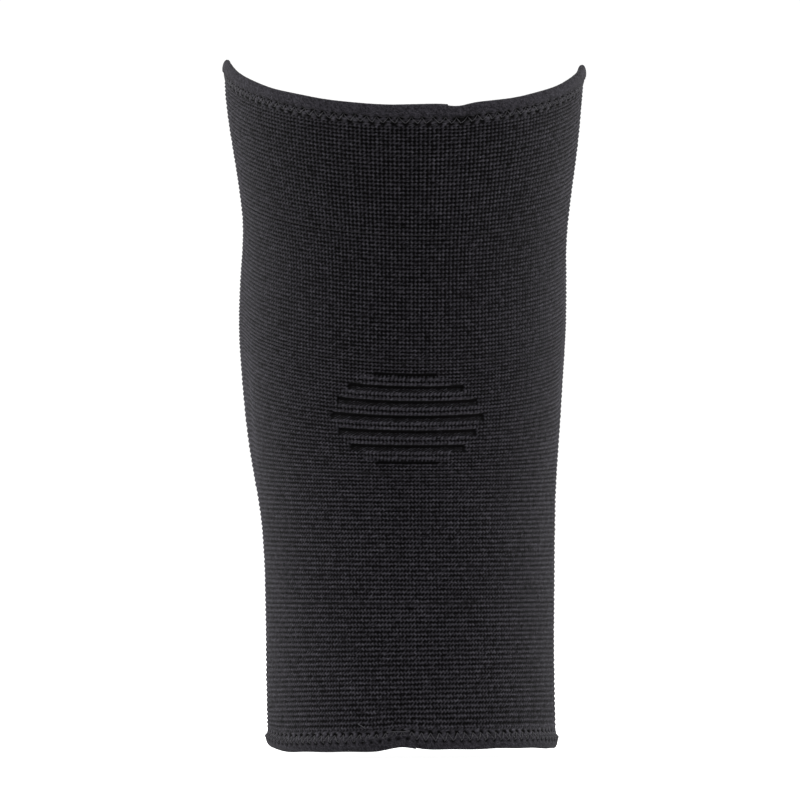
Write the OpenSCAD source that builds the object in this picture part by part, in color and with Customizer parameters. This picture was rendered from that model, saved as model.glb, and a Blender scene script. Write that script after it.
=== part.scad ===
// Knitted elbow pad: an elastic tubular sleeve with a foam cushion in a pocket over the
// point of the elbow. It has the shape that it takes on a slightly bent arm.
// The origin is the centre of the elbow. +Z runs up the arm, -Y faces out of the crook of
// the elbow, +Y out of its point, and +X is to the right of somebody who faces the crook.
// A station is a height on the arm's centre line, where the arm's section is a circle square
// to that line. A course is a ring of the knit, named by the station that it has at the
// sides: the bent elbow draws it down at the back. An angle round the arm is 0 at the back,
// 90 at +X and 180 in the crook.

/* [Arm] */
// Outer radius of the sleeve round the forearm
forearm_r = 45.3; // [42:0.1:49]
// Radius gained from the forearm to above the elbow
elbow_gain = 5.2; // [4:0.1:6]
// Radius gained from above the elbow to the top rim
biceps_gain = 6.1; // [4:0.1:7]
// Bend of the elbow as stored, degrees
rest_bend = 12; // [8:1:14]
// Sideways lean of the forearm from the upper arm, degrees
carry_angle = 1.3; // [0:0.1:3]

/* [Sleeve] */
// Course of the top rim, above the elbow
top_z = 114; // [106:1:118]
// Course of the bottom rim, below the elbow
bottom_z = 104; // [98:1:108]
// How far the bent elbow draws the top rim down at the back
back_pull = 33; // [20:1:34]
// How much lower the top rim sits on the +X side than on the other
askew = 1.6; // [0:0.1:3]
// Thickness of the knitted wall
wall = 1.6; // [1.4:0.1:1.8]
// Course at which the upper and lower tubes end in the crook, above and below the elbow
crook_reach = 50; // [48:1:54]
// Course at which the upper and lower tubes end at the back, above and below the elbow
back_reach = 12; // [10:1:16]

/* [Bindings] */
// Thickness of the folded tape
tape_t = 0.7; // [0.5:0.1:0.9]
// How far the tape reaches down the outside of the knit
tape_outside = 3; // [2.5:0.1:4]
// How far the tape reaches down the inside of the knit
tape_inside = 6; // [5:0.5:7]
// Height of the zigzag seam under the tape
zigzag_h = 2.2; // [1.5:0.1:3]
// Thickness of the sewing thread
thread_d = 0.5; // [0.4:0.1:0.6]

/* [Pad] */
// Thickness of the foam at its middle
foam_t = 9; // [6:0.5:11]
// Half the foam's width, as an angle round the arm
pad_half_angle = 72; // [60:1:76]
// Half the foam's height
pad_half_h = 46; // [40:1:46]
// Course of the pad's middle
pad_z = 15; // [12:1:16]
// Turn of the pad round the arm, towards -X, degrees
pad_turn = 6; // [0:1:10]
// Thickness of the lining
lining_t = 0.8; // [0.6:0.1:1]

/* [Label] */
// Width of the folded care label
label_w = 18; // [12:1:24]
// Length of the folded care label
label_h = 16; // [12:1:20]

/* [Hidden] */

sides = 60;          // flats round each knitted tube
body_gap = 0.3;      // between tubes that move against each other
clear = 0.1;         // between the tape, the thread and what they lie on
pad_gap = 0.35;      // between the pad's curved layers
bend_half = 28;      // the elbow's bend is spread over this much, above and below it
biceps_z = 62;       // the upper arm curls from here upwards
forearm_z = 24;      // the forearm curls from this far down
biceps_curl = 0.09;  // degrees a millimetre
forearm_curl = 0.035;
base_tilt = 1;       // tilt of the sections just below the elbow
spine_step = 2;      // of the centre line's sums
knit_black = [0.10, 0.10, 0.11];
tape_black = [0.14, 0.14, 0.15];
thread_black = [0.07, 0.07, 0.08];
foam_grey = [0.35, 0.35, 0.37];
lining_grey = [0.20, 0.20, 0.22];
label_grey = [0.45, 0.45, 0.46];

// ---- the arm's centre line and radius ----

// Smooth rise from 0 to 1 between two values
function ramp(v, from, to) =
    let (u = min(1, max(0, (v - from) / (to - from)))) u * u * (3 - 2 * u);

// Forward tilt of the section at a station
function tilt(z) =
    base_tilt + rest_bend * ramp(z, -bend_half, bend_half)
    + biceps_curl * max(0, z - biceps_z) + forearm_curl * min(0, z + forearm_z);

// Sideways lean of the centre line at a station
function lean(z) = carry_angle * (1 - ramp(z, -40, 20));

// Where the centre line passes, summed outwards from the elbow in steps of spine_step
function walk(way, angle) = [
    for (z = 0, at = 0; abs(z) <= 130;
         z = z + way * spine_step,
         at = at - way * spine_step * tan(angle(z - way * spine_step / 2)))
        [z, at]
];
tilt_up = walk(1, function (z) tilt(z));
tilt_down = walk(-1, function (z) tilt(z));
lean_up = walk(1, function (z) lean(z));
lean_down = walk(-1, function (z) lean(z));
function centre(z) = [
    lookup(z, z < 0 ? lean_down : lean_up),
    lookup(z, z < 0 ? tilt_down : tilt_up),
    z
];

// Outer radius of the sleeve without the pad under it
function sleeve_r(z) =
    forearm_r + elbow_gain * ramp(z, -50, 30) + biceps_gain * ramp(z, 50, 112);

// 0 at the front and 1 at the back, rising over the back half with a soft start
function backness(a) = (cos(a) + sqrt(pow(cos(a), 2) + 0.01)) / 2;

// Station of a course at an angle round the arm
function station(a, course) =
    course - back_pull * backness(a) * ramp(course, -20, top_z)
    - askew / 2 * sin(a) * ramp(course, 0, top_z);

// A point on a course at an angle, stood off by dr from the outside of the bare sleeve
function on_arm(a, course, dr) =
    let (z = station(a, course), r = sleeve_r(z) + dr,
         x = r * sin(a), y = r * cos(a) * cos(tilt(z)), up = r * cos(a) * sin(tilt(z)))
    centre(z) + [x * cos(lean(z)) - up * sin(lean(z)), y, x * sin(lean(z)) + up * cos(lean(z))];

// Puts round pieces square to the centre line at a station
module at_station(z) {
    translate(centre(z)) rotate([tilt(z), -lean(z), 0]) children();
}

// ---- the pad under the knit ----

pad_corner = 3.2;    // power of the pad's rounded outline
pad_power = 1 / pad_corner;
lining_reach = 1.3;  // the lining's edge, as a share of the foam's outline
knit_rise = foam_t + clear + 2 * pad_gap;

// 0 at the pad's middle, 1 along its outline
function pad_share(a, course) = pow(
    pow(abs(a + pad_turn) / pad_half_angle, pad_corner)
    + pow(abs(course - pad_z) / pad_half_h, pad_corner), pad_power);

// How far the pad lifts the knit off the arm
function lift_at(share) = knit_rise * (1 - ramp(share, 0.35, 1.45));
function lift(a, course) = lift_at(pad_share(a, course));

// Angle and course at a share of the way out from the pad's middle, in a direction
function pad_spot(share, way) =
    let (c = cos(way), s = sin(way),
         reach = share / pow(pow(abs(c), pad_corner) + pow(abs(s), pad_corner), pad_power))
    [reach * c * pad_half_angle - pad_turn, pad_z + reach * s * pad_half_h];

// ---- shells ----

function quad(a, b, c, d) = [[a, b, c], [a, c, d]];

// Closed wall between an inner and an outer face, each a grid of rows of n points that
// run round the arm
module wall_of(outer, inner) {
    n = len(outer[0]);
    rows = len(outer);
    points = [for (grid = [outer, inner]) for (row = grid) for (p = row) p];
    function at(face, j, i) = (face * rows + j) * n + i % n;
    faces = [
        for (j = [0 : rows - 2]) for (i = [0 : n - 1])
            each concat(
                quad(at(0, j, i), at(0, j, i + 1), at(0, j + 1, i + 1), at(0, j + 1, i)),
                quad(at(1, j, i), at(1, j + 1, i), at(1, j + 1, i + 1), at(1, j, i + 1))),
        for (i = [0 : n - 1])
            each concat(
                quad(at(0, 0, i), at(1, 0, i), at(1, 0, i + 1), at(0, 0, i + 1)),
                quad(at(0, rows - 1, i), at(0, rows - 1, i + 1),
                     at(1, rows - 1, i + 1), at(1, rows - 1, i)))
    ];
    polyhedron(points, faces, convexity = 6);
}

// Angles of the flats round a knitted tube, from -180 to 180
function turn(i) = 360 * i / sides - 180;

// Knitted tube between two courses, each a function of the angle round the arm
module knit_tube(low, high, rows) {
    function grid(inset) = [
        for (j = [0 : rows]) [
            for (i = [0 : sides - 1])
                let (a = turn(i), course = low(a) + (high(a) - low(a)) * j / rows)
                on_arm(a, course, lift(a, course) - inset)
        ]
    ];
    wall_of(grid(0), grid(wall));
}

// Closed ring along the top rim: each point of its outline is [stand-off, course]
module rim_ring(outline) {
    n = len(outline);
    points = [for (p = outline) for (i = [0 : sides - 1]) on_arm(turn(i), p[1], p[0])];
    function at(k, i) = (k % n) * sides + i % sides;
    polyhedron(points, [
        for (k = [0 : n - 1]) for (i = [0 : sides - 1])
            each quad(at(k, i), at(k + 1, i), at(k + 1, i + 1), at(k, i + 1))
    ], convexity = 6);
}

// Closed pillow over the pad's outline, out to a share of it, with the stand-off of its
// bottom and top faces as functions of the share
module pad_layer(reach, low, high, rings, turns) {
    function face(stand_off) = [
        for (k = [1 : rings]) for (i = [0 : turns - 1])
            let (share = reach * k / rings, s = pad_spot(share, 360 * i / turns))
            on_arm(s[0], s[1], stand_off(share))
    ];
    points = concat(
        face(high), face(low), [for (side = [high, low]) on_arm(-pad_turn, pad_z, side(0))]);
    size = rings * turns;
    function at(side, k, i) = side * size + (k - 1) * turns + i % turns;
    faces = [
        for (k = [1 : rings - 1]) for (i = [0 : turns - 1])
            each concat(
                quad(at(0, k, i), at(0, k + 1, i), at(0, k + 1, i + 1), at(0, k, i + 1)),
                quad(at(1, k, i), at(1, k, i + 1), at(1, k + 1, i + 1), at(1, k + 1, i))),
        for (i = [0 : turns - 1])
            each concat(
                quad(at(0, rings, i), at(1, rings, i), at(1, rings, i + 1), at(0, rings, i + 1)),
                [[2 * size, at(0, 1, i), at(0, 1, i + 1)],
                 [2 * size + 1, at(1, 1, i + 1), at(1, 1, i)]])
    ];
    polyhedron(points, faces, convexity = 6);
}

// ---- the knit ----

// Course of the boundary between a tube and the bending knit, at an angle
function boundary(a) = back_reach + (crook_reach - back_reach) * (1 - cos(a)) / 2;

module upper_arm_sleeve() {
    color(knit_black)
        knit_tube(function (a) boundary(a), function (a) top_z, 9);
}

module elbow_knit() {
    color(knit_black)
        knit_tube(function (a) body_gap - boundary(a), function (a) boundary(a) - body_gap, 12);
}

module forearm_sleeve() {
    color(knit_black)
        knit_tube(function (a) -bottom_z, function (a) -boundary(a), 7);
}

// ---- bindings and seams ----

slot_in = -wall - 2 * clear;    // the tape's slot for the knit's edge, as stand-offs
slot_out = 2 * clear;
fold_h = tape_t + clear;        // the fold stands this much past the rim
fold_r = 0.6;                   // rounding of the fold's edges

// Outline of the folded tape, up from a rim at 0: [stand-off, height]
tape_outline = [
    [slot_in - tape_t, -tape_inside],
    [slot_in - tape_t, fold_h - fold_r],
    [slot_in - tape_t + fold_r, fold_h],
    [slot_out + tape_t - fold_r, fold_h],
    [slot_out + tape_t, fold_h - fold_r],
    [slot_out + tape_t, -tape_outside],
    [slot_out, -tape_outside],
    [slot_out, clear],
    [slot_in, clear],
    [slot_in, -tape_inside]
];

// Outline of the band of sewing thread next to the tape
seam_low = -tape_outside - clear - zigzag_h;
seam_outline = [
    [slot_out, seam_low],
    [slot_out, seam_low + zigzag_h],
    [slot_out + thread_d, seam_low + zigzag_h],
    [slot_out + thread_d, seam_low]
];

// The same outline as a round ring at the bottom rim, with its fold down
module bottom_ring(outline) {
    r = sleeve_r(-bottom_z);
    at_station(-bottom_z)
        rotate_extrude($fn = 120)
            polygon([for (p = outline) [r + p[0], -p[1]]]);
}

// The outline raised to the top rim's course
function at_top(outline) = [for (p = outline) [p[0], top_z + p[1]]];

module upper_binding() {
    color(tape_black)
        rim_ring(at_top(tape_outline));
}

module lower_binding() {
    color(tape_black)
        bottom_ring(tape_outline);
}

module upper_zigzag_seam() {
    color(thread_black)
        rim_ring(at_top(seam_outline));
}

module lower_zigzag_seam() {
    color(thread_black)
        bottom_ring(seam_outline);
}

// ---- pad, lining and pocket seam ----

lining_out = -wall - clear;     // stand-off of the lining's outer face

module foam_pad() {
    color(foam_grey)
        pad_layer(1, function (share) lining_out + pad_gap,
            function (share) lift_at(share) - wall - pad_gap, 9, 44);
}

module pad_lining() {
    color(lining_grey)
        pad_layer(lining_reach, function (share) lining_out - lining_t,
            function (share) lining_out, 9, 44);
}

module pocket_seam() {
    turns = 60;
    ring = 6;
    seam_share = lining_reach - 0.04;
    seam_off = lining_out - lining_t - pad_gap - thread_d;
    function loop(k) =
        let (side = thread_d / 2 * cos(360 * k / ring), up = thread_d / 2 * sin(360 * k / ring)) [
            for (i = [0 : turns - 1])
                let (s = pad_spot(seam_share + side / pad_half_h, 360 * i / turns))
                on_arm(s[0], s[1], seam_off + up)
        ];
    points = [for (k = [0 : ring - 1]) each loop(k)];
    function at(k, i) = (k % ring) * turns + i % turns;
    color(thread_black)
        polyhedron(points, [
            for (k = [0 : ring - 1]) for (i = [0 : turns - 1])
                each quad(at(k, i), at(k, i + 1), at(k + 1, i + 1), at(k + 1, i))
        ], convexity = 6);
}

// ---- care label ----

// The label hangs down the inside of the back, from the end of the tape's inner leg
module care_label() {
    label_t = 0.5;
    // The flat label's edges come this much nearer the round wall than its middle
    bulge = pow(label_w, 2) / (8 * forearm_r) + clear + label_t;
    top = on_arm(0, top_z - tape_inside + 1, slot_in - tape_t - bulge);
    low = on_arm(0, top_z - tape_inside + 1 - label_h, -wall - bulge);
    slope = atan2(top[1] - low[1], top[2] - low[2]);
    color(label_grey)
        translate(low) rotate([-slope, 0, 0]) translate([-label_w / 2, 0, 0])
            cube([label_w, label_t, norm(top - low)]);
}

upper_arm_sleeve();
elbow_knit();
forearm_sleeve();
upper_binding();
lower_binding();
upper_zigzag_seam();
lower_zigzag_seam();
foam_pad();
pad_lining();
pocket_seam();
care_label();
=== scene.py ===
"""Looks of a knitted elbow pad: an elastic sleeve with a ribbed flex zone in the crook, folded
tape and zigzag stitching round both rims, and a foam pad in a lined pocket over the point of
the elbow. Lengths are in millimetres and angles in degrees until a mesh is made."""

import math

import bpy
import numpy as np
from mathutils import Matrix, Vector


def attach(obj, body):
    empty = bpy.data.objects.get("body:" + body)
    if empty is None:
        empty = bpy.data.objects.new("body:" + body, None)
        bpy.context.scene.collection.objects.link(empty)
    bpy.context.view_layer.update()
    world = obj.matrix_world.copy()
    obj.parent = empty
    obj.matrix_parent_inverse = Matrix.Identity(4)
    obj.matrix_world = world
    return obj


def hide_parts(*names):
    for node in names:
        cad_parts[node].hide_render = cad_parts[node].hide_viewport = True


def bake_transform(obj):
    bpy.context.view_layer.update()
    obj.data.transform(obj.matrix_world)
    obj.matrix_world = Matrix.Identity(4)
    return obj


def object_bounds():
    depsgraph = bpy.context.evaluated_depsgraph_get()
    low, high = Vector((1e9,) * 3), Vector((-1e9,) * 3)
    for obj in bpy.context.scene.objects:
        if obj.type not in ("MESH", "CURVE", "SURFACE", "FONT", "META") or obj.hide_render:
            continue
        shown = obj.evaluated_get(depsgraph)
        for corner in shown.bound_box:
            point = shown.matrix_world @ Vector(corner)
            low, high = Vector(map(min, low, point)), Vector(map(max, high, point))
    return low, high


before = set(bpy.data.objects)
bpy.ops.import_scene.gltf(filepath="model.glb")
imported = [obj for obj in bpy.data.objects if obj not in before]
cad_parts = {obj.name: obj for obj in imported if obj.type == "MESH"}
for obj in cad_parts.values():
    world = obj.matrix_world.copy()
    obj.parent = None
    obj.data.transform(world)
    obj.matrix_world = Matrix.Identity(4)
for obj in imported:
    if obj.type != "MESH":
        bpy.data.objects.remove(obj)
CAD_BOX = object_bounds()
MM = 0.001

# ---- the arm, as in the CAD model ----

FOREARM_R, ELBOW_GAIN, BICEPS_GAIN = 45.3, 5.2, 6.1
ELBOW_SPAN, BICEPS_SPAN = (-50, 30), (50, 112)
REST_BEND, BASE_TILT, CARRY_ANGLE = 12, 1, 1.3
CARRY_SPAN = (-40, 20)
TOP, BOTTOM = 114, -104          # courses of the two rims
BACK_PULL, PULL_FROM, ASKEW = 33, -20, 1.6
WALL = 1.6
BEND_HALF, BICEPS_Z, FOREARM_Z = 28, 62, -24
BICEPS_CURL, FOREARM_CURL = 0.09, 0.035
TAPE_INSIDE = 6                  # how far down the inside the tapes reach
CLEAR = 0.1
FOAM_T, PAD_HALF_ANGLE, PAD_HALF_H, PAD_Z, PAD_TURN = 9, 72, 46, 15, 6
PAD_CORNER, PAD_GAP = 3.2, 0.35
LINING_T, LINING_REACH = 0.8, 1.3
KNIT_RISE = FOAM_T + CLEAR + 2 * PAD_GAP
LIFT_SPAN = (0.35, 1.45)         # shares of the pad between which the knit comes down
SPINE = np.arange(-130.0, 131.0, 2.0)


def ramp(v, start, end):
    """Smooth rise from 0 to 1 between two values."""
    u = np.clip((v - start) / (end - start), 0, 1)
    return u * u * (3 - 2 * u)


def tilt(z):
    """Forward tilt of the arm's section at a station."""
    return (BASE_TILT + REST_BEND * ramp(z, -BEND_HALF, BEND_HALF)
            + BICEPS_CURL * np.maximum(0, z - BICEPS_Z)
            + FOREARM_CURL * np.minimum(0, z - FOREARM_Z))


def lean(z):
    """Sideways lean of the arm's centre line at a station."""
    return CARRY_ANGLE * (1 - ramp(z, *CARRY_SPAN))


def walked(angle):
    """How far the centre line has moved off the elbow at each point of SPINE."""
    step = SPINE[1] - SPINE[0]
    slope = np.tan(np.radians(angle(SPINE[:-1] + step / 2)))
    at = np.concatenate([[0], np.cumsum(-step * slope)])
    return at - at[SPINE == 0]


SPINE_X, SPINE_Y = walked(lean), walked(tilt)


def sleeve_r(z):
    """Radius of the bare sleeve's outside at a station."""
    return (FOREARM_R + ELBOW_GAIN * ramp(z, *ELBOW_SPAN)
            + BICEPS_GAIN * ramp(z, *BICEPS_SPAN))


def backness(a):
    """1 at the back of the arm, falling smoothly to 0 from the sides on."""
    c = np.cos(np.radians(a))
    return (c + np.sqrt(c * c + 0.01)) / 2


def station(a, course):
    """Where a course lies along the arm: the bent elbow draws it down at the back."""
    return (course - BACK_PULL * backness(a) * ramp(course, PULL_FROM, TOP)
            - ASKEW / 2 * np.sin(np.radians(a)) * ramp(course, 0, TOP))


def bell(v, middle, spread):
    """A smooth bump, 1 at its middle."""
    return np.exp(-((v - middle) / spread) ** 2)


def off_arm(z, a, dr):
    """A point at a station and an angle, stood off by dr from the outside of the bare sleeve."""
    z, a, dr = np.broadcast_arrays(*(np.asarray(v, float) for v in (z, a, dr)))
    r, t, s, a = sleeve_r(z) + dr, np.radians(tilt(z)), np.radians(lean(z)), np.radians(a)
    x, up = r * np.sin(a), r * np.cos(a) * np.sin(t)
    return np.stack([
        np.interp(z, SPINE, SPINE_X) + x * np.cos(s) - up * np.sin(s),
        np.interp(z, SPINE, SPINE_Y) + r * np.cos(a) * np.cos(t),
        z + x * np.sin(s) + up * np.cos(s)], -1)


def on_arm(a, course, dr):
    """The same with a course in place of a station."""
    return off_arm(station(np.asarray(a, float), np.asarray(course, float)), a, dr)


def outwards(a, course):
    """A step of a millimetre straight off the arm."""
    return on_arm(a, course, 1) - on_arm(a, course, 0)


def pad_share(a, course):
    """0 at the pad's middle, 1 along its outline."""
    a = (np.asarray(a, float) + 180) % 360 - 180
    return (np.abs((a + PAD_TURN) / PAD_HALF_ANGLE) ** PAD_CORNER
            + np.abs((course - PAD_Z) / PAD_HALF_H) ** PAD_CORNER) ** (1 / PAD_CORNER)


def lift_at(share):
    """How far the pad lifts the knit off the arm."""
    return KNIT_RISE * (1 - ramp(share, *LIFT_SPAN))


# ---- the knit's rows and wales ----

WALES = 256
FLEX_PERIOD = 4.58               # height of a groove, its band and the two plump rows under it
FLEX_HALF, FLEX_Z = 20, -0.5
FLEX_ROWS = 13                   # the zone's grooves lie this many rows either way
ROW_LEAST, ROW_AT_ELBOW, ROW_SLOPE = 1.27, 1.365, 0.0017
SKEW, SKEW_MIDDLE, SKEW_SPAN = 1.15, 5, (50, 98)
COURSES = np.linspace(BOTTOM, TOP, 4001)
FRONT = on_arm(180, COURSES, 0)[:, 2]


def row_height(height):
    """Height of one row in the crook: more down the forearm, less in the flex zone."""
    plain = np.maximum(ROW_LEAST, ROW_AT_ELBOW - ROW_SLOPE * height)
    flex = 1 - ramp(np.abs(height), FLEX_HALF - 3, FLEX_HALF + 7)
    return plain + (FLEX_PERIOD / 4 - plain) * flex


ROWS = np.cumsum(np.diff(FRONT) / row_height((FRONT[1:] + FRONT[:-1]) / 2))
ROWS = np.concatenate([[0], ROWS])
ROWS -= np.interp(FLEX_Z, FRONT, ROWS)  # row 0 is the middle groove of the flex zone


def angle_of(wale):
    """Wales run from 0 at the back past -X to the crook at WALES / 2 and on past +X."""
    return 360 - wale * 360 / WALES


def course_at(row, a):
    """The course of a row at an angle: between the rims the rows run a little askew."""
    course = np.interp(row, ROWS, COURSES) + 0 * a
    near_rim = ramp(np.abs(course - SKEW_MIDDLE), *SKEW_SPAN)
    return course - SKEW * np.sin(np.radians(a)) * (1 - near_rim)


# Half widths and sideways shifts of the seven grooves, in wales, from the lowest up
GROOVES = np.array([8.4, 15.3, 18.6, 20.3, 18.6, 14.9, 8.1])
GROOVE_SHIFT = np.array([0.6, 0.5, 0.4, 0.4, 0.5, 0, 0])
HALF_BAR, THIN_BAR = 0.78, 0.42  # half height of a groove and its band, and of the end grooves
RIB_DEEP, HOLE_DEEP = 0.34, 0.46
GAP_LOW, GAP_HIGH = 0.20, 0.30   # depth between wales, down the forearm and up the arm
UPPER_ROWS = (-20, 50)           # where the one turns into the other
GROOVE_DEEP, BAND_DEEP, PLUMP = 0.95, 0.42, 0.05
BAND_EDGE = 0.6                  # wales at each end of a band that are as dark as a groove


def stitches(wale, row):
    """The knit at a wale and a row: relief in millimetres, darkness from 0 to 1 (painted shade in
    the holes, in the gaps between rows and wales, and in the grooves), lean along the row in wales,
    and whether it is in a band of the flex zone."""
    across = (1 - np.cos(2 * np.pi * wale)) / 2          # 0 between wales, 1 on a loop
    along = (1 - np.cos(2 * np.pi * row)) / 2            # 0 between rows, 1 on a row
    low = (1 - along) ** 1.5
    upper = ramp(row, *UPPER_ROWS)
    gap = GAP_LOW + (GAP_HIGH - GAP_LOW) * upper
    deep = RIB_DEEP * low + (1 - across) * (HOLE_DEEP * low + gap)
    # painted shade between rows and between wales, a little deeper up the arm
    dark = ((1 - along) * (0.52 + 0.75 * (1 - across))
            + (0.44 + 0.18 * upper) * (1 - across) * along)
    sway = (0.22 - 0.12 * upper) * np.sin(2 * np.pi * row)
    # The flex zone: every fourth row a groove with a sunken band under it, and two plump
    # rows between one groove and the next
    k = np.clip(np.floor(row / 4 + 0.5), -3, 3).astype(int)
    g = row - 4 * k
    beside = np.clip(k + np.where(g < 0, -1, 1), -3, 3)
    half, thin = GROOVES[k + 3], np.abs(k) == 3
    plump_half = np.where(np.abs(g) < HALF_BAR, half, (half + GROOVES[beside + 3]) / 2)
    out = np.abs(wale - WALES / 2 - GROOVE_SHIFT[k + 3])
    zone = np.abs(row) < FLEX_ROWS
    bar = (out < half) & (np.abs(g) < np.where(thin, THIN_BAR, HALF_BAR)) & zone
    plump = zone & ~(thin & (g * np.sign(k) > 0)) & ~bar & (out < plump_half)
    s = np.clip((np.abs(g) - HALF_BAR) / (2 - HALF_BAR), 0, 1)
    crest = np.sin(np.pi * s)
    dots = np.where(s > 0.5, 1.0, 0.6)
    plump_deep = (-PLUMP * crest + (1 - crest) * (RIB_DEEP + (1 - across) * HOLE_DEEP * dots)
                  + (1 - across) * gap)
    # painted shade in the gaps between and beside the plump rows
    plump_dark = (1 - crest) * (0.5 + 1.0 * (1 - across)) * dots + 0.5 * (1 - across) * crest
    groove = (g > 0.15) | thin
    bar_deep = np.where(groove, GROOVE_DEEP, BAND_DEEP + 0.15 * (1 - across))
    # painted shadow: a groove and each end of its band are fully dark, the rest of the band dotted
    # with painted shade
    dotted = 0.7 + 0.22 * np.cos(2 * np.pi * (wale + 2 * row))
    bar_dark = np.where(groove | (out > half - BAND_EDGE), 1.0, dotted)
    plump_sway = 0.18 * (2 * s - 1) * np.sign(g)
    deep = np.where(plump, plump_deep, np.where(bar, bar_deep, deep))
    dark = np.where(plump, plump_dark, np.where(bar, bar_dark, dark))
    sway = np.where(plump, plump_sway, np.where(bar, 0, sway))
    return -deep, dark, sway, bar & ~groove


# ---- the hems ----

ZIGZAGS = 101                    # stitches round each rim
SEAMS = {1: (3.4, 5.7), -1: (2.1, 4.5)}  # needle holes from the upper and the lower rim
HEMS = {1: (6.5, 7.2), -1: (5.3, 6.1)}   # where the sewn hem gives way to the knit
HOLE_SPREAD = {1: 0.62, -1: 0.32}        # square of a needle hole's radius
LAPS = {1: 163, -1: 184}         # where the rims dip beside the tapes' laps
KNIT_PROUD = 0.15                # the ribs' crests stand this far out of the CAD's wall
RIM_THIN, THIN_REACH = 0.6, 3    # each face of the knit is pressed in so much, so far from the rim
RIM_REACH = 14                   # how far from a rim its waves die out


def needle_holes(wale, edge, way):
    """1 at each needle hole of the zigzag and 0 away from it."""
    phase = wale * ZIGZAGS / WALES
    pitch = 2 * np.pi * sleeve_r(TOP if way > 0 else BOTTOM) / ZIGZAGS
    near = (phase - np.round(phase)) * pitch
    far = (phase - 0.5 - np.round(phase - 0.5)) * pitch
    return (np.exp(-(near ** 2 + (edge - SEAMS[way][0]) ** 2) / HOLE_SPREAD[way])
            + np.exp(-(far ** 2 + (edge - SEAMS[way][1]) ** 2) / HOLE_SPREAD[way]))


def rim_edge(course):
    """Distance from the nearer rim."""
    return np.minimum(TOP - course, course - BOTTOM)


def rim_shift(a, course):
    """How the sewn rims stray from their courses: the upper one is turned down a little and dips
    beside its lap, and the lower one rises beside its lap, on the -X side and at the back."""
    a = a % 360
    side = np.sin(np.radians(a)) ** 2
    top = -1.1 - 0.6 * side - 0.7 * bell(a, LAPS[1], 4)
    bottom = (1.1 * bell(a, LAPS[-1], 7) + 2.5 * bell(a, 266, 16) - 0.7
              + 0.2 * np.sin(np.radians(a + 180))
              + 1.5 * ramp(np.cos(np.radians(a)), -0.1, 0.5))
    return (1 - ramp(rim_edge(course), 0, RIM_REACH)) * np.where(course > 0, top, bottom)


def trim(a, course):
    """Small gains and losses in girth, where the real tube is slimmer or fuller on one side."""
    a = a % 360
    right = (0.9 * bell(course, -42, 24) - 1.0 * bell(course, 14, 22)
             - 0.8 * bell(course, 104, 16))
    left = (0.3 * bell(course, -90, 20) + 0.3 * bell(course, 100, 14)
            - 1.1 * bell(course, 18, 20))
    return right * bell(a, 90, 16) + left * bell(a, 268, 12)


def knit_lift(a, course):
    """How far the knit stands off the arm over the pad, which ends sooner low on the -X side."""
    low = 0.85 * bell(np.asarray(a, float) % 360, 265, 12) * (1 - ramp(course, 2, 26))
    return lift_at(pad_share(a, course)) * (1 - low)


def sewn(a, course, dr):
    """A point of the knit or of what is sewn on it."""
    return on_arm(a, course + rim_shift(a, course), dr + trim(a, course))


# ---- making meshes ----

def new_piece(name, points, faces, material, uv=None, values=None, bake=None, flat=0):
    """A smooth mesh object from points in millimetres. Faces are an array of quads or a list; uv
    and bake have a pair for each corner of each face, and values a number for each point, by
    name. The last faces, as many as flat says, have hard edges."""
    mesh = bpy.data.meshes.new(name)
    if isinstance(faces, np.ndarray):
        mesh.vertices.add(len(points))
        mesh.vertices.foreach_set("co", (np.asarray(points) * MM).astype(np.float32).ravel())
        mesh.loops.add(faces.size)
        mesh.loops.foreach_set("vertex_index", faces.astype(np.int32).ravel())
        mesh.polygons.add(len(faces))
        starts = np.arange(0, faces.size, faces.shape[1], dtype=np.int32)
        mesh.polygons.foreach_set("loop_start", starts)
        mesh.update(calc_edges=True)
    else:
        mesh.from_pydata([tuple(p) for p in np.asarray(points) * MM], [], faces)
    count = len(mesh.polygons)
    mesh.polygons.foreach_set("use_smooth", np.arange(count) < count - flat)
    for layer, places in (("Knit", uv), ("OFBake", bake)):
        if places is not None:
            data = mesh.uv_layers.new(name=layer).data
            data.foreach_set("uv", np.asarray(places, np.float32).ravel())
    for key, v in (values or {}).items():
        data = mesh.attributes.new(key, "FLOAT", "POINT").data
        data.foreach_set("value", np.asarray(v, np.float32).ravel())
    mesh.validate()
    piece = bpy.data.objects.new(name, mesh)
    bpy.context.scene.collection.objects.link(piece)
    piece.data.materials.append(material)
    return piece


def grid_quads(rows, cols, start=0, flip=False, closed=True):
    """Quads of rows of points that run round in the order of the wales."""
    across = np.arange(cols if closed else cols - 1)
    j, i = np.meshgrid(np.arange(rows - 1), across, indexing="ij")
    n = (i + 1) % cols
    f = np.stack([j * cols + i, j * cols + n, (j + 1) * cols + n, (j + 1) * cols + i], -1)
    f = f.reshape(-1, 4)
    return (f[:, ::-1] if flip else f) + start


def corners(rows, cols, flip=False):
    """Row and column of each corner of grid_quads' quads, with the last column past the end."""
    j, i = np.meshgrid(np.arange(rows - 1), np.arange(cols), indexing="ij")
    j = np.stack([j, j, j + 1, j + 1], -1).reshape(-1, 4)
    i = np.stack([i, i + 1, i + 1, i], -1).reshape(-1, 4)
    return (j[:, ::-1], i[:, ::-1]) if flip else (j, i)


def strips(along, length, across, count, low, high):
    """Texture places that lay a long band out as level strips, one over another, with margins;
    along and across have a value for each corner of each quad."""
    n = along.min(1, keepdims=True) * count // length
    u = along * count / length - n
    v = low + (high - low) * (n + 0.03 + 0.94 * across) / count
    return np.stack([0.003 + 0.975 * u, v], -1)


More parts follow.
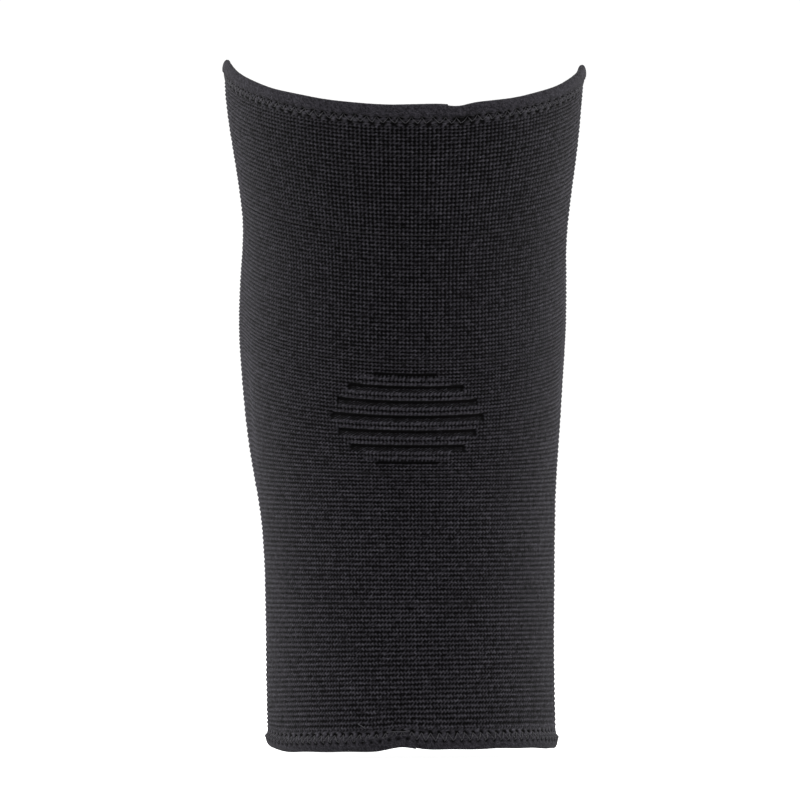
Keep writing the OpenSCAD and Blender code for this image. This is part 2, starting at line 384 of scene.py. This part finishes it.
def tube(line, out, radius, closed=False, sides=6):
    """Points and quads of a round thread along a line; out is roughly square to it."""
    ahead = np.roll(line, -1, 0) - np.roll(line, 1, 0)
    if not closed:
        ahead[0], ahead[-1] = line[1] - line[0], line[-1] - line[-2]
    ahead /= np.linalg.norm(ahead, axis=1)[:, None]
    side = np.cross(ahead, out)
    side /= np.linalg.norm(side, axis=1)[:, None]
    up = np.cross(side, ahead)
    t = 2 * np.pi * np.arange(sides) / sides
    ring = side[:, None] * np.cos(t)[:, None] + up[:, None] * np.sin(t)[:, None]
    points = (line[:, None] + radius * ring).reshape(-1, 3)
    quads = grid_quads(len(line), sides, flip=True)
    if closed:
        last = (len(line) - 1) * sides
        i = np.arange(sides)
        n = (i + 1) % sides
        quads = np.concatenate([quads, np.stack([i, n, last + n, last + i], -1)])
        return points, [tuple(q) for q in quads]
    ends = [tuple(range(sides)), tuple(len(line) * sides - 1 - np.arange(sides))]
    return points, [tuple(q) for q in quads] + ends


def walk(points):
    """Distance along a line at each of its points."""
    return np.concatenate([[0], np.cumsum(np.linalg.norm(np.diff(points, axis=0), axis=1))])


def joined(parts):
    """One set of points and faces from several."""
    points, faces, start = [], [], 0
    for p, f in parts:
        points.append(p)
        faces += [tuple(int(v) + start for v in q) for q in f]
        start += len(p)
    return np.concatenate(points), faces


# ---- materials ----

def rgb(r, g, b):
    return (r, g, b, 1)


class Look:
    """A node material with one Principled shader, built a node at a time."""

    def __init__(self, name, roughness, specular=0.2, sheen=0.0):
        self.material = bpy.data.materials.new(name)
        self.material.use_nodes = True
        self.tree = self.material.node_tree
        self.shader = self.tree.nodes["Principled BSDF"]
        self.shader.inputs["Roughness"].default_value = roughness
        self.shader.inputs["Specular IOR Level"].default_value = specular
        self.shader.inputs["Sheen Weight"].default_value = sheen
        self.shader.inputs["Sheen Roughness"].default_value = 0.5

    def add(self, kind, inputs=(), out=0, **settings):
        """A node whose inputs are linked or set; settings are its own. Gives one output."""
        node = self.tree.nodes.new("ShaderNode" + kind)
        for key, v in settings.items():
            setattr(node, key, v)
        if not isinstance(inputs, dict):
            inputs = dict(enumerate(inputs))
        for key, v in inputs.items():
            if isinstance(v, bpy.types.NodeSocket):
                self.tree.links.new(v, node.inputs[key])
            else:
                node.inputs[key].default_value = v
        return node.outputs[out]

    def math(self, operation, *values):
        return self.add("Math", values, operation=operation)

    def mix(self, share, a, b):
        """A colour between two; a colour Mix node's sockets start at 6 and its result is 2."""
        return self.add("Mix", {0: share, 6: a, 7: b}, 2, data_type="RGBA")

    def noise(self, vector, scale, detail=2.0, roughness=0.5):
        """Noise from about 0.2 to 0.8; scale has a value for each axis."""
        at = self.add("Mapping", {"Vector": vector, "Scale": scale})
        return self.add("TexNoise", {
            "Vector": at, "Scale": 1.0, "Detail": detail, "Roughness": roughness})

    def uv(self):
        return self.add("UVMap", uv_map="Knit")

    def place(self):
        return self.add("TexCoord", out="Object")

    def value(self, name):
        return self.add("Attribute", out="Fac", attribute_name=name)

    def waves(self, uv):
        """Cosine waves along U and V, with one wave to a wale or a row."""
        at = [self.add("SeparateXYZ", (uv,), i) for i in (0, 1)]
        return [self.math("COSINE", self.math("MULTIPLY", v, 2 * math.pi)) for v in at]

    def between(self, v, low, high, to_low=0.0, to_high=1.0):
        return self.add("MapRange", (v, low, high, to_low, to_high))

    def put(self, key, socket):
        self.tree.links.new(socket, self.shader.inputs[key])
        return self

    def bump(self, height, strength, distance):
        return self.put("Normal", self.add("Bump", {
            "Strength": strength, "Distance": distance * MM, "Height": height}))


# near-black painted shade for the holes, gaps and grooves of the knit and the needle holes of the
# tape
HOLE_SHADE = rgb(0.0006, 0.0006, 0.0007)
DEEP_YARN, PALE_YARN = rgb(0.0112, 0.0103, 0.0128), rgb(0.081, 0.0765, 0.092)


def knit_look():
    look = Look("knit", 0.85, 0.08, 0.06)
    uv = look.uv()
    fibres = look.noise(uv, (3.0, 8.0, 1), 3.0, 0.65)
    patches = look.noise(uv, (0.06, 0.06, 1), 3.0, 0.6)
    tone = look.math("ADD", look.value("tone"), look.between(fibres, 0.3, 0.7, -0.36, 0.36))
    tone = look.math("ADD", tone, look.between(patches, 0.3, 0.7, -0.06, 0.06))
    # The inner face has no stitches of its own in the mesh, so its pits are painted with shade and
    # bumped in
    pits = look.between(look.math("ADD", *look.waves(uv)), 0.0, 2.0)
    pits = look.math("MULTIPLY", look.value("inner"), pits)
    dark = look.between(look.math("ADD", look.value("dark"), pits), 0.05, 0.76)
    # the dark attribute paints shade into the holes, gaps and grooves
    look.put("Base Color", look.mix(dark, look.mix(tone, DEEP_YARN, PALE_YARN), HOLE_SHADE))
    return look.bump(look.math("SUBTRACT", fibres, pits), 0.4, 0.15).material


def tape_look():
    look = Look("tape", 0.9, 0.06, 0.05)
    uv = look.uv()
    weave = look.noise(uv, (2.2, 2.6, 1), 3.0, 0.7)
    tone = look.math("ADD", look.value("tone"), look.between(weave, 0.3, 0.7, -0.4, 0.4))
    # the dark attribute: the tape a little darker all over, with painted shade in its needle holes
    # and by its lap
    dark = look.between(look.value("dark"), 0, 1)
    look.put("Base Color", look.mix(dark, look.mix(tone, DEEP_YARN, PALE_YARN), HOLE_SHADE))
    return look.bump(weave, 0.7, 0.15).material


def thread_look():
    look = Look("thread", 0.55, 0.25, 0.03)
    twist = look.noise(look.place(), (2500, 2500, 2500), 2.0)
    dark, pale = rgb(0.009, 0.0085, 0.01), rgb(0.08, 0.077, 0.087)
    look.put("Base Color", look.mix(twist, dark, pale))
    return look.bump(twist, 0.4, 0.08).material


def foam_look():
    look = Look("foam", 0.95, 0.1)
    cells = look.add("TexVoronoi", {"Vector": look.place(), "Scale": 900.0})
    dark, pale = rgb(0.03, 0.03, 0.033), rgb(0.16, 0.16, 0.17)
    look.put("Base Color", look.mix(look.between(cells, 0.1, 0.6), dark, pale))
    return look.bump(cells, 0.5, 0.3).material


def lining_look():
    look = Look("lining", 0.85, 0.1, 0.15)
    uv = look.uv()
    # painted shade in the pits between the lining's stitches, which are also bumped in
    pits = look.between(look.math("MULTIPLY", *look.waves(uv)), -0.2, 1.0)
    fibres = look.noise(uv, (3, 3, 3), 3.0, 0.6)
    yarn = look.mix(fibres, rgb(0.028, 0.028, 0.031), rgb(0.085, 0.085, 0.092))
    look.put("Base Color", look.mix(pits, yarn, rgb(0.004, 0.004, 0.005)))
    return look.bump(look.math("SUBTRACT", fibres, pits), 0.5, 0.2).material


def label_look():
    look = Look("label", 0.38, 0.5, 0.1)
    place = look.place()
    weave = look.add("TexWave", {"Vector": place, "Scale": 1400.0, "Distortion": 0.6})
    look.put("Base Color", look.mix(weave, rgb(0.32, 0.32, 0.33), rgb(0.46, 0.46, 0.47)))
    return look.bump(weave, 0.25, 0.05).material


KNIT, TAPE, THREAD = knit_look(), tape_look(), thread_look()
FOAM, LINING, LABEL = foam_look(), lining_look(), label_look()


def bending(piece):
    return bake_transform(piece)


# ---- the knitted tube ----

COLS, ROW_PARTS = 2 * WALES, 4   # points round the tube and rows of points to a row of the knit
INNER_ROWS = 18
EDGE_ROW = 0.2                   # the inner face's first and last rows are this narrow
LOOP_DEPTH, LOOP_DARK, LOOP_TONE = 0.03, 0.11, 0.12  # how much one loop differs from the next
GRAIN_DEPTH, GRAIN_DARK, GRAIN_TONE = 0.015, 0.12, 0.26  # and one point from the next
HEM_DEPTH, HEM_DARK, HEM_GRAIN = 0.85, 0.24, 0.16    # needle holes' depth, and the hem's darkness
GLINTS, GLINT_TONE = 0.01, 0.95  # the share of points that catch the light


def rim_press(course):
    """How far the tape presses each face of the knit in."""
    return RIM_THIN * (1 - ramp(rim_edge(course), 0, THIN_REACH))


def knit_points(rows, wale, draws):
    """The knit's outer face: points, darkness (painted shade in its holes and gaps, with random
    variation from loop to loop and point to point) and tone.
    """
    relief, dark, sway, band = stitches(wale, rows[:, None] + 0 * wale)
    loop = draws.normal(0, 1, (int(rows[-1] - rows[0]) + 2, WALES))
    loop = loop[(rows - rows[0]).astype(int)][:, np.arange(COLS) // 2]
    a = angle_of(wale + sway)
    course = course_at(rows[:, None], a)
    edge = rim_edge(course)
    way = 1 if rows[0] > 0 else -1
    hem = 1 - ramp(edge, *HEMS[way])
    holes = np.clip(needle_holes(wale, edge, way), 0, 1)
    puff = 0.12 * np.cos(np.pi * (edge - np.mean(SEAMS[way])) / 2.4)
    relief = (relief + LOOP_DEPTH * loop) * (1 - hem) + hem * (puff - HEM_DEPTH * holes)
    relief = relief + KNIT_PROUD + draws.normal(0, GRAIN_DEPTH, relief.shape) - rim_press(course)
    dark = dark + LOOP_DARK * loop * ~band + draws.normal(0, 1, dark.shape) * GRAIN_DARK
    # ragged thread with painted shade beside the upper tape's lap
    fray_and_shade = (way > 0) * bell(a, LAPS[1] - 1, 3) * bell(edge, 4.3, 0.9)
    # painted shade in the needle holes
    hem_dark = HEM_DARK + draws.normal(0, HEM_GRAIN, dark.shape) + 1.8 * holes + 0.9 * fray_and_shade
    dark = dark * (1 - hem) + hem * hem_dark
    tone = 0.5 + LOOP_TONE * loop + draws.normal(0, GRAIN_TONE, relief.shape)
    tone = np.where(draws.random(relief.shape) < GLINTS, GLINT_TONE, tone)
    pale_wale = np.abs(wale - WALES / 2 - 1.5) < 0.3     # down the middle of the crook
    tone = tone + np.where(pale_wale, 0.12, 0)
    outer = sewn(a, course, knit_lift(a, course) + relief)
    return outer, np.clip(dark, 0, 1), tone


def knit_piece(name, node, low, high, seed):
    """The tube between two rows, as a closed wall."""
    first = np.ceil(low * ROW_PARTS + 1e-6) / ROW_PARTS
    rows = np.concatenate([[low], np.arange(first, high - 1e-6, 1 / ROW_PARTS), [high]])
    wale = np.arange(COLS) / 2
    outer, dark, tone = knit_points(rows, wale, np.random.default_rng(seed))
    inner_rows = np.linspace(low + EDGE_ROW, high - EDGE_ROW, INNER_ROWS - 2)
    inner_rows = np.concatenate([[low], inner_rows, [high]])
    a = angle_of(wale) + 0 * inner_rows[:, None]
    course = course_at(inner_rows[:, None], a)
    inner = sewn(a, course, knit_lift(a, course) - WALL + rim_press(course))
    n, m = len(rows), INNER_ROWS
    start, i = n * COLS, np.arange(COLS)
    on = (i + 1) % COLS
    top, top_in = (n - 1) * COLS, start + (m - 1) * COLS
    faces = np.concatenate([
        grid_quads(n, COLS), grid_quads(m, COLS, start, flip=True),
        np.stack([i, start + i, start + on, on], -1),
        np.stack([top + i, top + on, top_in + on, top_in + i], -1)])
    u = np.tile(wale, n + m)
    v = np.repeat(np.concatenate([rows, inner_rows]), COLS)
    uv = np.stack([u, v], -1)[faces]
    wraps = np.ptp(uv[:, :, 0], axis=1) > WALES / 2
    uv[:, :, 0] += WALES * (wraps[:, None] & (uv[:, :, 0] < WALES / 2))
    (j, k), (j_in, k_in) = corners(n, COLS), corners(m, COLS, flip=True)
    cap, top_cap = np.stack([i, i, i + 1, i + 1], -1), np.stack([i, i + 1, i + 1, i], -1)
    bake = np.concatenate([
        strips(k, COLS, j / (n - 1), 3, 0.0, 0.9),
        strips(k_in, COLS, j_in / (m - 1), 1, 0.9, 0.97),
        strips(cap, COLS, [[0, 1, 1, 0]] + 0 * cap, 1, 0.97, 0.983),
        strips(top_cap, COLS, [[0, 0, 1, 1]] + 0 * cap, 1, 0.985, 0.998)])
    inside = np.zeros(m * COLS)
    points = np.concatenate([outer.reshape(-1, 3), inner.reshape(-1, 3)])
    piece = new_piece(name, points, faces, KNIT, uv, {
        "dark": np.concatenate([dark.ravel(), inside + 0.1]),
        "tone": np.concatenate([tone.ravel(), inside + 0.42]),
        "inner": np.concatenate([np.zeros(n * COLS), inside + 1])}, bake, flat=2 * COLS)
    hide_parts(node)
    return bending(piece)


CUTS = [ROWS[0], -44, -15, 15, 46, ROWS[-1]]     # rows where one piece of the tube meets the next
KNIT_PIECES = [
    ("forearm_knit", "forearm_sleeve"), ("lower_elbow_knit", "elbow_knit"),
    ("flex_zone_knit", "elbow_knit"), ("upper_elbow_knit", "elbow_knit"),
    ("upper_arm_knit", "upper_arm_sleeve")]
for number, (name, node) in enumerate(KNIT_PIECES):
    knit_piece(name, node, CUTS[number], CUTS[number + 1], number + 1)

# ---- folded tapes ----

TAPE_COLS = 720
TAPE_PATH = np.array([           # stand-off and height past the rim, from the outside edge
    (0.48, -3.0), (0.46, -2.2), (0.32, -1.4), (0.1, -0.6), (-0.2, 0.02), (-0.5, 0.3),
    (-0.78, 0.38), (-1.06, 0.3), (-1.34, 0.02), (-1.6, -0.6), (-1.82, -1.5), (-2.0, -3.0),
    (-2.1, -4.5), (-2.12, -6.0)])
TAPE_HALF = 0.29                 # half its thickness
TAPE_NOSE = 0.7 * TAPE_HALF      # how far its rounded edges stand out
TAPE_FINE = 0.4                  # distance between points round it
LAP = 9                          # millimetres that the tape's ends lap


def tape_outline():
    """Outline of the folded tape's section, as stand-offs and heights past the rim."""
    gone = walk(TAPE_PATH)
    at = np.linspace(0, gone[-1], round(gone[-1] / TAPE_FINE))
    path = np.stack([np.interp(at, gone, TAPE_PATH[:, i]) for i in (0, 1)], -1)
    ahead = np.gradient(path, axis=0)
    ahead /= np.linalg.norm(ahead, axis=1)[:, None]
    side = np.stack([-ahead[:, 1], ahead[:, 0]], -1) * -TAPE_HALF
    ends = [path[-1] + ahead[-1] * TAPE_NOSE, path[0] - ahead[0] * TAPE_NOSE]
    return np.concatenate([path + side, [ends[0]], (path - side)[::-1], [ends[1]]])


def tape(name, node, body, rim, way, lap_at, seed):
    """Binding folded over a rim; way is 1 at the top rim and -1 at the bottom one."""
    draws = np.random.default_rng(seed)
    outline = tape_outline()
    r = sleeve_r(rim)
    lap = np.degrees(LAP / r)
    turn = np.linspace(0, 360 + lap, TAPE_COLS)
    a = (lap_at - turn)[:, None]
    over = ramp(turn, 360 - 2.5 * lap, 360 - 0.2 * lap)[:, None]   # the end lies on the start
    dr, h = outline[:, 0], outline[:, 1]
    facing = np.clip(dr + 0.8, -1, 1)       # 1 outside, -1 inside
    outside = dr > -0.5
    lower_edge = ramp(-h, 2.0, 3.0) * outside
    wale = ((360 - a) % 360) * WALES / 360
    pull = np.clip(needle_holes(wale, -h, way), 0, 1) * outside
    waves = 0.10 * np.sin(np.radians(a * 7) + 1) + 0.07 * np.sin(np.radians(a * 17))
    # The lap's upper layer stands off the lower one, and the needle holes pull the tape in
    dr = (dr + over * 0.5 * np.maximum(facing, 0) - over * 0.35 * np.maximum(-facing, 0)
          - 0.5 * pull)
    dr = dr + draws.normal(0, 0.035, dr.shape)
    h = (h + waves * ramp(h, -3, 0.5) + 0.35 * over * ramp(h, -0.6, 0.5)
         - 0.12 * waves * lower_edge)
    course = rim + way * (h + 0 * a)
    points = sewn(a + 0 * dr, course, dr)
    n, k = points.shape[:2]
    # rows run along the tape, so the outline is what closes
    faces = [tuple(q) for q in grid_quads(n, k, flip=way > 0)]
    caps = [tuple(range(k))[::-1], tuple((n - 1) * k + np.arange(k))]
    faces += caps if way < 0 else [c[::-1] for c in caps]
    flat = np.stack([np.repeat(np.radians(turn) * r, k), np.tile(walk(outline), n)], -1)
    uv = np.concatenate([flat[list(f)] for f in faces])
    # ragged thread with painted shade beside the tape's lap
    fray_and_shade = bell(a, LAPS[way] - 1, 2.5) * bell(-h, 3.2, 0.8) * outside
    # a little darker all over, with painted shade in the needle holes and by the lap
    dark = np.clip(0.14 + 1.3 * pull + 0.9 * fray_and_shade + 0 * dr, 0, 1)
    tone = 0.24 + draws.normal(0, 0.16, dr.shape)
    j, i = corners(n, k, flip=way > 0)
    bake = strips(j, n - 1, i / k, 12, 0.0, 0.98).reshape(-1, 2)
    bake = np.concatenate([bake, np.tile([[0.5, 0.995]], (2 * k, 1))])
    piece = new_piece(name, points.reshape(-1, 3), faces, TAPE, uv,
                      {"dark": dark, "tone": tone}, bake)
    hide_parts(node)
    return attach(piece, body)


tape("upper_tape", "upper_binding", "upper_arm", TOP, 1, 175.6, 11)
tape("lower_tape", "lower_binding", "forearm", BOTTOM, -1, 190, 12)

# ---- zigzag threads ----

THREAD_R = 0.14
LEG = np.array([0, 0.12, 0.3, 0.5, 0.7, 0.88])           # places along one leg of a zigzag
LEG_RISE = np.array([-0.5, -0.05, 0.14, 0.18, 0.14, -0.05])
TAPE_STEP, STEP_FROM, STEP_TO = 0.8, 3.6, 2.9            # the stitch climbs onto the tape's edge
TAIL_FINE = 6                    # points of a tail's curve to each point given


def zigzag(name, node, body, rim, way, seed, tails=()):
    """Zigzag thread round a hem. A tail has an angle, a distance from the rim, and the rest of
    its points as steps in both and a stand-off."""
    draws = np.random.default_rng(seed)
    legs = np.arange(2 * ZIGZAGS)[:, None]
    t = np.where(legs % 2 == 0, LEG, 1 - LEG)             # 0 near the rim, 1 away from it
    jitter = draws.normal(0, 0.06, 2 * ZIGZAGS)
    phase = (legs + LEG) / 2 + np.interp(legs + LEG, np.arange(2 * ZIGZAGS), jitter)
    near, far = SEAMS[way]
    edge = (near + (far - near) * t).ravel()
    a = angle_of(phase.ravel() * WALES / ZIGZAGS)
    course = rim - way * edge
    on_tape = TAPE_STEP * ramp(-edge, -STEP_FROM, -STEP_TO)
    line = sewn(a, course, np.tile(LEG_RISE, 2 * ZIGZAGS) + on_tape)
    parts = [tube(line, outwards(a, course), THREAD_R, closed=True)]
    for a0, e0, points in tails:
        points = np.array(points) + (a0, e0, 0)
        fine = np.linspace(0, len(points) - 1, TAIL_FINE * len(points))
        ta, te, tr = (np.interp(fine, np.arange(len(points)), v) for v in points.T)
        course = rim - way * te
        parts.append(tube(sewn(ta, course, tr), outwards(ta, course), THREAD_R))
    piece = new_piece(name, *joined(parts), THREAD)
    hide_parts(node)
    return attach(piece, body)


TAILS = [
    (185.5, 4.5, [(4.5, 0.2, 0.2), (3, 0.1, 0.5), (1, 0, 0.6), (-1, -0.1, 0.55), (-3, -0.1, 0.5),
                  (-4.5, 0.3, 0.3)]),
    (200, 7, [(1.6, 0.8, 0.2), (1, 0.5, 0.6), (0.2, 0.2, 0.7), (-0.8, -0.3, 0.8),
              (-1.4, -0.6, 0.6), (-1, 0, 0.4)])]
zigzag("upper_zigzag_thread", "upper_zigzag_seam", "upper_arm", TOP, 1, 21)
zigzag("lower_zigzag_thread", "lower_zigzag_seam", "forearm", BOTTOM, -1, 22, TAILS)

# ---- the pad, its lining and its seam ----

def pad_spot(share, way):
    """Angle and course at a share of the way out from the pad's middle, in a direction."""
    c, s = np.cos(np.radians(way)), np.sin(np.radians(way))
    reach = share / (np.abs(c) ** PAD_CORNER + np.abs(s) ** PAD_CORNER) ** (1 / PAD_CORNER)
    return reach * c * PAD_HALF_ANGLE - PAD_TURN, PAD_Z + reach * s * PAD_HALF_H


PILLOW_RINGS = 40
MM_PER_DEGREE, LINING_MESH = 0.84, 1.1   # round the arm at the lining, and its knit's pitch


def pillow(name, node, reach, low, high, turns, material, seed, grain):
    """Closed pillow out to a share of the pad's outline, between two stand-offs."""
    draws = np.random.default_rng(seed)
    share = reach * np.sin(np.linspace(0, np.pi / 2, PILLOW_RINGS + 1))[1:, None]
    a, course = pad_spot(share, 360 * np.arange(turns) / turns)
    points = []
    for side in (high, low):
        off = side(share + 0 * a) + draws.normal(0, grain, a.shape)
        points.append(on_arm(a, course, off).reshape(-1, 3))
    for side in (high, low):
        points.append(on_arm(-PAD_TURN, PAD_Z, side(np.zeros(1))[0])[None])
    size = PILLOW_RINGS * turns
    quads = grid_quads(PILLOW_RINGS, turns)
    i = np.arange(turns)
    on, last = (i + 1) % turns, size - turns
    rim = np.stack([last + on, size + last + on, size + last + i, last + i], -1)
    faces = [tuple(q) for q in np.concatenate([quads, quads[:, ::-1] + size, rim])]
    faces += [(2 * size, k, j) for j, k in zip(i, on)]
    faces += [(2 * size + 1, j + size, k + size) for j, k in zip(i, on)]
    flat = np.stack([a.ravel() * MM_PER_DEGREE, course.ravel()], -1)
    middle = [[-PAD_TURN * MM_PER_DEGREE, PAD_Z]]
    flat = np.concatenate([flat, flat, middle, middle])
    uv = np.concatenate([flat[list(f)] for f in faces]) / LINING_MESH
    piece = new_piece(name, np.concatenate(points), faces, material, uv)
    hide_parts(node)
    return bending(piece)


LINING_OUT = -WALL - CLEAR
# The foam's edge is rounded more outside than inside
foam = pillow("foam_cushion", "foam_pad", 1,
              lambda s: LINING_OUT + PAD_GAP + 0.5 * ramp(s, 0.97, 1.0),
              lambda s: lift_at(s) - WALL - PAD_GAP - 1.2 * ramp(s, 0.94, 1.0),
              180, FOAM, 31, 0.03)
lining = pillow("pocket_lining", "pad_lining", LINING_REACH,
                lambda s: LINING_OUT - LINING_T + 0 * s, lambda s: LINING_OUT + 0 * s,
                220, LINING, 32, 0.02)

SEAM_SHARE, SEAM_STITCH = LINING_REACH - 0.04, 2.4   # where the seam runs, and its stitches' length
SEAM_POINTS = 1200
SEAM_CLEAR, SEAM_DIP = 0.05, 0.3         # how far the thread floats off the lining, and dips in


def pocket_stitches():
    """Short stitches in a row round the lining, sunk where the needle went in."""
    a, course = pad_spot(SEAM_SHARE, 360 * np.arange(SEAM_POINTS) / SEAM_POINTS)
    along = walk(on_arm(a, course, 0))
    count = round(along[-1] / SEAM_STITCH)
    around = along[-1] * SEAM_POINTS / (SEAM_POINTS - 1)
    dip = np.abs(np.cos(np.pi * along * count / around))
    off = LINING_OUT - LINING_T - THREAD_R - SEAM_CLEAR + SEAM_DIP * dip ** 6
    thread = tube(on_arm(a, course, off), outwards(a, course), THREAD_R, closed=True)
    piece = new_piece("pocket_stitches", *thread, THREAD)
    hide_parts("pocket_seam")
    return bending(piece)


pocket_stitches()


LABEL_W, LABEL_H, LABEL_T = 18, 16, 0.16


def slab(points, thick):
    """A closed sheet of a thickness about a grid of points."""
    n, k = points.shape[:2]
    out = np.cross(np.gradient(points, axis=1), np.gradient(points, axis=0))
    out *= thick / 2 / np.linalg.norm(out, axis=-1)[..., None]
    quads = grid_quads(n, k, closed=False)
    index = np.arange(n * k).reshape(n, k)
    rim = np.concatenate([index[0, :-1], index[:-1, -1], index[-1, :0:-1], index[:0:-1, 0]])
    on, back = np.roll(rim, -1), n * k
    edge = np.stack([on, rim, rim + back, on + back], -1)
    points = np.concatenate([(points + out).reshape(-1, 3), (points - out).reshape(-1, 3)])
    return points, np.concatenate([quads, quads[:, ::-1] + back, edge])


def care_label():
    """Blank satin label folded double, its ends held under the tape's inner edge."""
    down = np.concatenate([np.linspace(0, 1, 26), np.linspace(1, 0, 26)])[:, None]
    layer = np.concatenate([np.ones(25), [0.5, -0.5], -np.ones(25)])[:, None]
    u = np.linspace(-1, 1, 25)
    gap = (LABEL_T * 0.55 + 0.22 * down ** 2) * layer
    away = 0.35 + 0.9 * down ** 1.5 + 0.35 * np.sin(2.1 * u + 0.5) * down
    a = np.degrees(LABEL_W / 2 / sleeve_r(TOP)) * u
    course = TOP - TAPE_INSIDE + 1 - LABEL_H * down
    points = sewn(a + 0 * down, course + 0 * u, -WALL - away - gap)
    piece = new_piece("care_label_satin", *slab(points, LABEL_T), LABEL)
    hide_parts("care_label")
    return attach(piece, "upper_arm")


care_label()

# ---- stage, lights and camera ----

FLOOR_HALF, FLOOR_GAP, FLOOR_GLOW = 12000, 0.2, 0.97     # the glow is for the camera alone
WORLD_LIGHT, WORLD_SEEN = 0.22, 1.05     # on the object, and as the camera's background
CAMERA_AWAY, CAMERA_SIDE, CAMERA_UP = 4000, -1.8, 5.4
SHOWN, SENSOR = 1.1447, 36               # height shown, of the object's, and sensor width


def make_stage():
    look = Look("floor", 0.9)
    grain = look.noise(look.place(), (900, 900, 900))
    look.put("Base Color", look.mix(grain, rgb(0.86, 0.86, 0.86), rgb(0.9, 0.9, 0.9)))
    look.shader.inputs["Emission Color"].default_value = rgb(1, 1, 1)
    seen = look.add("LightPath", out="Is Camera Ray")
    look.put("Emission Strength", look.math("MULTIPLY", seen, FLOOR_GLOW))
    x, z = FLOOR_HALF, CAD_BOX[0].z / MM - FLOOR_GAP
    floor = new_piece("floor", [(-x, -x, z), (x, -x, z), (x, x, z), (-x, x, z)],
                      [(0, 1, 2, 3)], look.material)
    world = bpy.data.worlds.new("studio")
    world.use_nodes = True
    bpy.context.scene.world = world
    nodes, links = world.node_tree.nodes, world.node_tree.links
    nodes["Background"].inputs["Color"].default_value = rgb(1, 1, 1)
    path = nodes.new("ShaderNodeLightPath")
    strength = nodes.new("ShaderNodeMapRange")
    strength.inputs["To Min"].default_value = WORLD_LIGHT
    strength.inputs["To Max"].default_value = WORLD_SEEN
    links.new(path.outputs["Is Camera Ray"], strength.inputs["Value"])
    links.new(strength.outputs[0], nodes["Background"].inputs["Strength"])


def softbox(name, place, size, power):
    light = bpy.data.lights.new(name, "AREA")
    light.shape, light.energy = "RECTANGLE", power
    light.size, light.size_y = size
    lamp = bpy.data.objects.new(name, light)
    lamp.location = place
    lamp.rotation_euler = (-Vector(place)).to_track_quat("-Z", "Y").to_euler()
    lamp.visible_camera = False
    bpy.context.scene.collection.objects.link(lamp)


def make_camera():
    height = CAD_BOX[1].z - CAD_BOX[0].z
    data = bpy.data.cameras.new("camera")
    data.sensor_width = SENSOR
    data.lens = SENSOR * CAMERA_AWAY * MM / (SHOWN * height)
    data.clip_end = 100
    cam = bpy.data.objects.new("camera", data)
    cam.location = (CAMERA_SIDE * MM, -CAMERA_AWAY * MM, CAMERA_UP * MM)
    cam.rotation_euler = (math.pi / 2, 0, 0)
    bpy.context.scene.collection.objects.link(cam)
    bpy.context.scene.camera = cam


make_stage()
# places and sizes in metres, power in watts
softbox("left_box", (-1.6, 0.4, 0.5), (1.4, 2.0), 46)
softbox("right_box", (1.6, 0.4, 0.5), (1.4, 2.0), 40)
softbox("front_box", (0.2, -1.5, 2.6), (1.6, 1.2), 47)
make_camera()
bpy.context.scene.view_settings.view_transform = "Standard"
